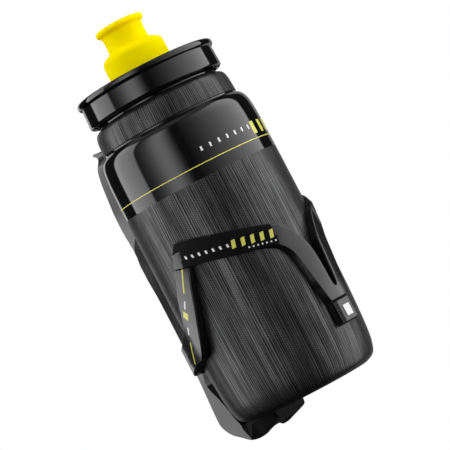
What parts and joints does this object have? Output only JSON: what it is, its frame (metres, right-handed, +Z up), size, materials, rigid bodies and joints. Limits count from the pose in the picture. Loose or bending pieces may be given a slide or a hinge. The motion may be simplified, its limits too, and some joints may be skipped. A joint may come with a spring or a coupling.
{
  "type": "bicycle bottle in cage",
  "caption": "Round squeeze bottle with screw cap and push-pull nozzle, standing in a moulded cage with a rear spine, side struts, front bow and grip tab.",
  "frame": {"origin": "middle of the cage's two bolt slots, on the flat rear face of the mounting rail", "axes": "+Z up along the bottle, towards the nozzle; +Y out of the rear face, towards the bicycle's frame tube; the front tab faces -Y"},
  "size_m": [0.0832, 0.0946, 0.192],
  "materials": {
    "cage": "moulded fibre-filled nylon, satin dark grey",
    "pad": "soft matte elastomer",
    "plate": "blank white plate",
    "screw": "plated",
    "bottle_brushed": "dark grey with fine upright brushed streaks",
    "gloss_black": "glossy black",
    "nozzle": "soft yellow, satin",
    "post": "natural polypropylene",
    "seal": "silicone",
    "mark_yellow": "printed pale yellow line",
    "mark_white": "printed white mark"
  },
  "bodies": {
    "cage": {"cage_spine": "cage", "cage_bow": "cage", "grip_pad": "pad", "grip_plate": "plate", "screw_lower": "screw", "screw_upper": "screw"},
    "bottle": {"bottle_body": "bottle_brushed"},
    "seal": {"cap_seal": "seal"},
    "cap": {"cap_shell": "gloss_black", "spout_post": "post"},
    "nozzle": {"nozzle_sleeve": "nozzle"}
  },
  "joints": [
    {"name": "bottle_slide", "type": "slide", "parent": "cage", "child": "bottle", "axis": [0, 0, 1], "range_m": [0, 0.2]},
    {"name": "cap_lift", "type": "slide", "parent": "bottle", "child": "seal", "axis": [0, 0, 1], "range_m": [0, 0.006]},
    {"name": "cap_turn", "type": "hinge", "parent": "seal", "child": "cap", "pos_m": [0, -0.0465, 0.07], "axis": [0, 0, 1], "range_deg": [0, 540]},
    {"name": "nozzle_pull", "type": "slide", "parent": "cap", "child": "nozzle", "axis": [0, 0, 1], "range_m": [0, 0.006]}
  ],
  "couplings": [
    {"joint": "cap_lift", "follows": "cap_turn", "m_per_rad": 0.00063662}
  ]
}
